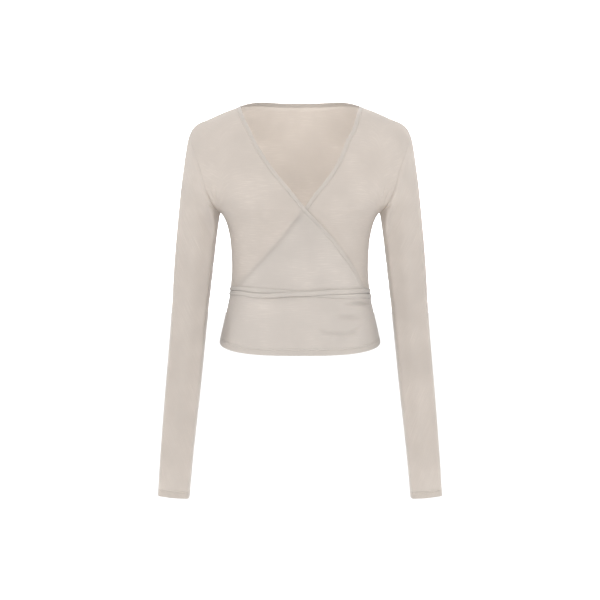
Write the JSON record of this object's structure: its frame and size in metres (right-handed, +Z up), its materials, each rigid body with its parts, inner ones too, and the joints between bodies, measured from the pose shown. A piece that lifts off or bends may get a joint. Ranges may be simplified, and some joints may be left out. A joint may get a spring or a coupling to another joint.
{
  "type": "wrap top",
  "caption": "Cropped long-sleeved wrap top in fine jersey with bound edges and flat ties crossed at the waist, standing open as if worn.",
  "frame": {"origin": "middle of the shoulders, where the wearer carries the garment, level with the line between the shoulder seams", "axes": "+Z up, +X to the wearer's left, -Y to the front"},
  "size_m": [0.4772, 0.2082, 0.664],
  "materials": {
    "front_outer": "matt fine jersey",
    "front_inner": "matt fine jersey",
    "back": "matt fine jersey",
    "sleeve_left": "matt fine jersey",
    "sleeve_right": "matt fine jersey",
    "binding_outer": "matt fine jersey",
    "binding_inner": "matt fine jersey",
    "binding_neck": "matt fine jersey",
    "tie_outer": "matt fine jersey",
    "tie_inner": "matt fine jersey",
    "tie_knot": "matt fine jersey"
  },
  "bodies": {
    "root": {"front_outer": "front_outer", "front_inner": "front_inner", "back": "back", "sleeve_left": "sleeve_left", "sleeve_right": "sleeve_right", "binding_outer": "binding_outer", "binding_inner": "binding_inner", "binding_neck": "binding_neck", "tie_outer": "tie_outer", "tie_inner": "tie_inner", "tie_knot": "tie_knot"}
  },
  "joints": []
}
